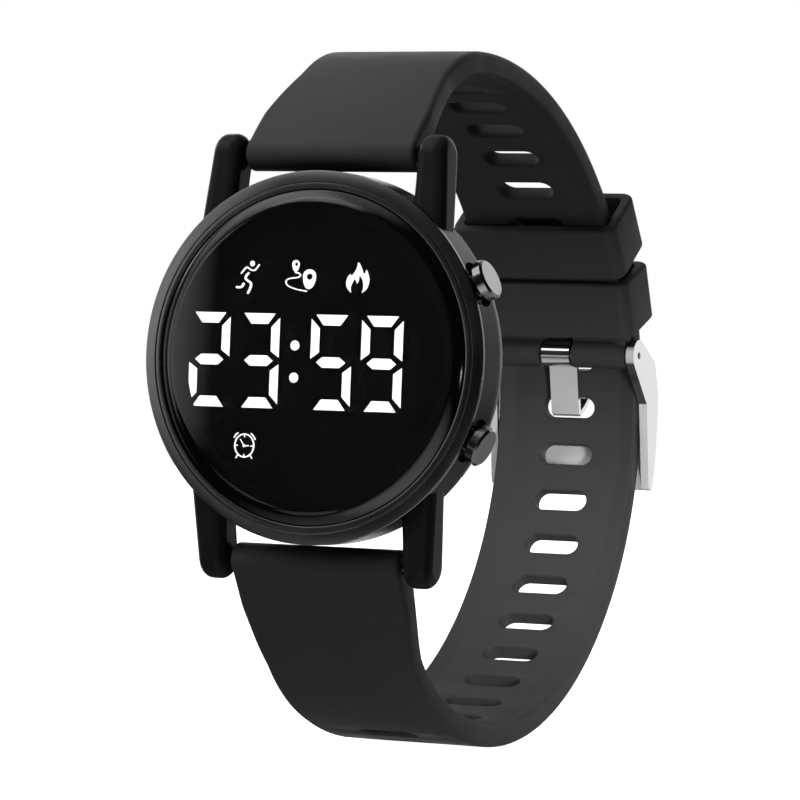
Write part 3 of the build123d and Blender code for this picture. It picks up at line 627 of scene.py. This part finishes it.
def build_keeper(name, node, body, distance):
    """Band round both strap layers, with soft edges."""
    angle = WRAP + math.degrees(distance / KEEPER_PATH_R)
    out, along = direction(angle), direction(angle + 90)
    middle = WRAP_CENTRE + out * KEEPER_MID_R
    inner = rounded_rectangle(*KEEPER_INNER)
    outer = rounded_rectangle(*KEEPER_OUTER)
    corners = [(0, -KEEPER_HALF), (1, -KEEPER_HALF), (1, KEEPER_HALF), (0, KEEPER_HALF)]
    section = rounded(corners, (0.12, 0.38, 0.38, 0.12), 5)
    verts = []
    for a, b in zip(inner, outer):
        for share, travel in section:
            p = a.lerp(b, share)
            spot = middle + out * p.y + along * travel
            verts.append((p.x, spot.x, spot.y))
    count, rings = len(section), len(inner)
    faces = []
    for k in range(rings):
        n = (k + 1) % rings
        for i in range(count):
            j = (i + 1) % count
            faces.append([k * count + i, k * count + j, n * count + j, n * count + i])
    ob = piece(name, verts, faces, M_STRAP, 35)
    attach(ob, body)
    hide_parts(node)


def build_pin_ends():
    """Slightly crowned ends of the pin, seen in the cheeks."""
    for side, name in ((1, "pin_end_right"), (-1, "pin_end_left")):
        face = side * CHEEK_FACE
        profile = [(0, face), (PIN_END_R, face), (PIN_END_R, face + side * 0.02),
                   (0.30, face + side * 0.07), (0, face + side * 0.09)]
        ob = lathe(name, profile, M_PIN, 32, closed=False, place=along_x(PIN_CENTRE))
        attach(ob, "frame")


build_keeper("keeper_band_fixed", "keeper_fixed", "strap_upper", FIXED_AT)
build_keeper("keeper_band_free", "keeper_free", "free_keeper", FREE_AT)
build_pin_ends()


# Icons on the display, each drawn on its own grid with y downwards
DISPLAY_FRONT = -7.70
ICON_DEPTH = 0.06


def stroke(points, width, steps=6):
    """Outline of a line of the given width with round ends."""
    pts = [Vector(p) for p in points]
    left, right = [], []
    for i, p in enumerate(pts):
        before = (p - pts[i - 1]).normalized() if i else (pts[1] - p).normalized()
        after = (pts[i + 1] - p).normalized() if i < len(pts) - 1 else before
        along = (before + after).normalized()
        across = Vector((-along.y, along.x))
        reach = width / 2 / max(0.5, across.dot(Vector((-before.y, before.x))))
        left.append(p + across * reach)
        right.append(p - across * reach)
    out = list(left)
    for end, first in ((pts[-1], left[-1]), (pts[0], right[0])):
        arm = first - end
        for k in range(1, steps):
            out.append(end + Matrix.Rotation(-math.pi * k / steps, 2) @ arm)
        if end is pts[-1]:
            out += right[::-1]
    return out


def curve_through(points, steps):
    """Smooth line through the points."""
    pts = [Vector(p) for p in points]
    out = []
    for i in range(len(pts) - 1):
        p0, p1, p2 = pts[max(i - 1, 0)], pts[i], pts[i + 1]
        p3 = pts[min(i + 2, len(pts) - 1)]
        for k in range(steps):
            t = k / steps
            out.append(((p1 * 2) + (p2 - p0) * t + (p0 * 2 - p1 * 5 + p2 * 4 - p3) * t * t
                        + (p1 * 3 - p0 - p2 * 3 + p3) * t * t * t) / 2)
    out.append(pts[-1])
    return out


def line(points, width, steps=0):
    """Lit line of the given width, smoothed through its points where steps are given."""
    return stroke(curve_through(points, steps) if steps else points, width), None


def oval(centre, rx, ry, count=28):
    """Closed ellipse."""
    out = []
    for k in range(count):
        d = direction(360 * k / count)
        out.append(Vector((centre[0] + rx * d.x, centre[1] + ry * d.y)))
    return out


def icon(name, place, middle, scale, shapes):
    """Flat lit shapes in one piece; a shape is one outline, or an outline and its hole."""
    verts, faces = [], []
    for outer, hole in shapes:
        loops = [outer] if hole is None else [outer, hole]
        start = len(verts)
        count = len(outer)
        for depth in (DISPLAY_FRONT, DISPLAY_FRONT - ICON_DEPTH):
            for loop in loops:
                for p in loop:
                    x = place[0] + (p[0] - middle[0]) * scale[0]
                    z = place[1] - (p[1] - middle[1]) * scale[1]
                    verts.append((x, depth, z))
        layer = count * len(loops)
        for i in range(count):
            j = (i + 1) % count
            faces.append([start + i, start + j, start + layer + j, start + layer + i])
            if hole is not None:
                faces.append([start + count + j, start + count + i, start + layer + count + i,
                              start + layer + count + j])
                for base in (start, start + layer):
                    faces.append([base + i, base + j, base + count + j, base + count + i])
        if hole is None:
            faces.append([start + i for i in range(count)])
            faces.append([start + layer + i for i in range(count)])
    ob = piece(name, verts, faces, M_LIT, 30)
    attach(ob, "case")


def teardrop(centre, radius_x, radius_y, tip):
    """Map pin outline: a round head drawn out to a tip."""
    out = []
    for p in oval(centre, radius_x, radius_y):
        down = (p.y - centre[1]) / radius_y
        if down > 0:
            pull = (tip[0] - centre[0]) * down ** 1.6
            p = Vector((p.x + pull, centre[1] + (tip[1] - centre[1]) * down))
        out.append(p)
    return out


RUNNER_ARMS = ((240, 468), (300, 390), (350, 338), (400, 362), (455, 397), (528, 400),
               (575, 350), (622, 283))
RUNNER_BODY = ((395, 468), (355, 515), (335, 580), (395, 635), (458, 685), (448, 780),
               (400, 892))
RUNNER_LEG = ((295, 697), (262, 755), (215, 774), (150, 772))
ROUTE_PATH = ((196, 300), (200, 322), (240, 325), (272, 358), (235, 392), (130, 407),
              (72, 430), (54, 470), (80, 515), (150, 550), (250, 578), (370, 597))
FLAME = ((1180, 170), (1215, 230), (1240, 290), (1252, 335), (1268, 342), (1284, 325),
         (1298, 275), (1320, 325), (1345, 400), (1345, 470), (1325, 540), (1290, 590),
         (1240, 625), (1256, 570), (1262, 500), (1245, 430), (1222, 390), (1195, 360),
         (1190, 425), (1178, 468), (1165, 487), (1150, 455), (1138, 425), (1128, 414),
         (1112, 440), (1085, 495), (1068, 550), (1080, 628), (1040, 590), (1010, 540),
         (1000, 480), (1010, 420), (1035, 370), (1060, 345), (1068, 372), (1080, 374),
         (1110, 340), (1145, 280), (1162, 230), (1165, 180))
SMALL_SCALE = (0.00782, 0.0071)


def build_icons():
    runner = [
        (oval((475, 257), 50, 60), None),
        line(RUNNER_ARMS, 32, 3),
        line(RUNNER_BODY, 46, 4),
        line(RUNNER_LEG, 48, 4),
    ]
    icon("icon_runner", (-8.24, 8.45), (382, 552), (0.00547, 0.00497), runner)
    route = [
        (teardrop((197, 188), 55, 56, (197, 304)), oval((206, 195), 24, 29)),
        (teardrop((410, 368), 99, 100, (403, 566)), oval((413, 378), 46, 48)),
        line(ROUTE_PATH, 19, 4),
    ]
    icon("icon_route", (-1.90, 8.67), (277, 372), SMALL_SCALE, route)
    icon("icon_flame", (4.86, 8.63), (1175, 398), SMALL_SCALE, [(FLAME, None)])
    clock = [
        (oval((795, 785), 388, 458, 48), oval((795, 785), 340, 410, 48)),
        line([(570, 1120), (487, 1258)], 44),
        line([(1015, 1120), (1100, 1258)], 44),
        line([(400, 490), (440, 405), (492, 345), (540, 318)], 44, 4),
        line([(1042, 325), (1100, 375), (1160, 455), (1203, 540)], 44, 4),
        line([(640, 560), (785, 790)], 30),
        line([(785, 790), (950, 790)], 44),
        (oval((780, 795), 46, 50), None),
        line([(797, 370), (797, 455)], 34),
        line([(790, 1120), (790, 1200)], 38),
        line([(440, 782), (535, 782)], 38),
        line([(1045, 795), (1150, 795)], 38),
    ]
    icon("icon_alarm", (-7.90, -9.66), (797, 795), (0.00313, 0.00284), clock)


build_icons()


# Floor, lights and world
def area_light(name, place, target, size, power, spread=180, glossy=True):
    data = bpy.data.lights.new(name, "AREA")
    data.shape = "RECTANGLE"
    data.size, data.size_y = size
    data.energy = power
    data.spread = math.radians(spread)
    ob = bpy.data.objects.new(name, data)
    ob.location = place
    ob.rotation_euler = (Vector(target) - Vector(place)).to_track_quat("-Z", "Y").to_euler()
    ob.visible_camera = False
    ob.visible_glossy = glossy
    bpy.context.scene.collection.objects.link(ob)


FLOOR_REACH, FLOOR_GAP = 3.0, 0.0002


def build_floor():
    low = cad_box[0].z - FLOOR_GAP
    mesh = bpy.data.meshes.new("floor")
    ways = ((-1, -1), (1, -1), (1, 1), (-1, 1))
    corners = [(x * FLOOR_REACH, y * FLOOR_REACH, low) for x, y in ways]
    mesh.from_pydata(corners, [], [(0, 1, 2, 3)])
    ob = bpy.data.objects.new("floor", mesh)
    bpy.context.scene.collection.objects.link(ob)
    mat, nt, bsdf = new_material("pale_floor")
    bsdf.inputs["Base Color"].default_value = (0.9, 0.9, 0.9, 1)
    bsdf.inputs["Roughness"].default_value = 0.9
    bsdf.inputs["Specular IOR Level"].default_value = 0.0
    bsdf.inputs["Emission Color"].default_value = (1, 1, 1, 1)
    bsdf.inputs["Emission Strength"].default_value = 1.0
    mesh.materials.append(mat)
    ob.visible_glossy = False
    ob.visible_diffuse = False


# Soft cards round the object: direction, full and faded angle from it in degrees, brightness
CARDS = (
    ((-0.68, -0.38, 0.63), 16, 30, 1.25),
    ((-0.42, -0.66, 0.62), 9, 17, 1.4),
    ((-0.35, -0.20, 0.91), 10, 40, 0.85),
    ((-0.30, 0.80, 0.50), 15, 50, 0.5),
    ((-0.89, 0.22, 0.35), 5, 11, 4.0),
    ((0.36, 0.90, 0.26), 17, 28, 0.85),
    ((0.25, 0.88, -0.42), 14, 24, 0.3),
    ((-0.75, 0.65, 0.10), 20, 50, 0.8),
    ((0.70, 0.55, -0.50), 14, 30, 0.6),
    ((-0.25, 0.95, 0.15), 15, 36, 0.4),
    ((-0.86, -0.48, 0.05), 6, 16, 1.3),
    ((0.22, -0.72, -0.66), 10, 34, 1.0),
    ((-0.54, -0.82, -0.20), 2, 5, 0.5),
    ((-0.42, -0.82, -0.39), 4, 7, 0.5),
    ((0.10, -0.10, -0.99), 20, 60, 0.45),
)
# Upright strips: azimuth, half width and faded half width, low and high elevation, brightness
STRIPS = (
    (-41, 4.5, 8.0, -3, 13, 1.25),
    (-24.8, 4.0, 7.0, 23, 34, 1.0),
)
STRIP_FADE = 2
BASE_LIGHT = 0.015


def build_world():
    world = bpy.data.worlds.new("studio")
    world.use_nodes = True
    nt = world.node_tree
    background = nt.nodes["Background"]
    coord = add(nt, "ShaderNodeTexCoord").outputs["Generated"]
    levels = []
    for towards, full, faded, value in CARDS:
        dot = add(nt, "ShaderNodeVectorMath", operation="DOT_PRODUCT")
        nt.links.new(coord, dot.inputs[0])
        dot.inputs[1].default_value = Vector(towards).normalized()
        level = ramp(nt, dot.outputs["Value"], math.cos(math.radians(faded)),
                     math.cos(math.radians(full)), 0.0, value)
        level.node.interpolation_type = "SMOOTHSTEP"
        levels.append(level)
    split = add(nt, "ShaderNodeSeparateXYZ")
    nt.links.new(coord, split.inputs[0])
    ahead = combine(nt, "MULTIPLY", split.outputs["Y"], -1.0)
    around = combine(nt, "ARCTAN2", split.outputs["X"], ahead)
    for azimuth, half, faded, low, high, value in STRIPS:
        level = None
        for side in (-1, 1):
            edge = ramp(nt, around, math.radians(azimuth + side * faded),
                        math.radians(azimuth + side * half), 0.0, value if level is None else 1.0)
            level = edge if level is None else combine(nt, "MULTIPLY", level, edge)
        for at, fade in ((low, -STRIP_FADE), (high, STRIP_FADE)):
            edge = ramp(nt, split.outputs["Z"], math.sin(math.radians(at + fade)),
                        math.sin(math.radians(at)), 0.0, 1.0)
            level = combine(nt, "MULTIPLY", level, edge)
        levels.append(level)
    total = levels[0]
    for level in levels[1:]:
        total = combine(nt, "ADD", total, level)
    total = combine(nt, "ADD", total, BASE_LIGHT)
    path = add(nt, "ShaderNodeLightPath")
    mix = add(nt, "ShaderNodeMix", data_type="RGBA")
    nt.links.new(path.outputs["Is Camera Ray"], mix.inputs["Factor"])
    nt.links.new(total, mix.inputs[6])
    mix.inputs[7].default_value = (1, 1, 1, 1)
    nt.links.new(mix.outputs[2], background.inputs["Color"])
    background.inputs["Strength"].default_value = 1.0
    bpy.context.scene.world = world
    bpy.context.scene.view_settings.view_transform = "Standard"


build_floor()
build_world()
area_light("overhead", (-0.12, 0.02, 0.60), (0, 0.02, 0), (0.30, 0.30), 0.2)
area_light("inner_fill", (0.10, -0.06, -0.03), (0.005, 0.055, -0.028), (0.03, 0.05), 0.0115, 26)
area_light("root_fill", (-0.09, -0.12, 0.21), (0, -0.006, 0.026), (0.05, 0.05), 0.0062, 19, False)
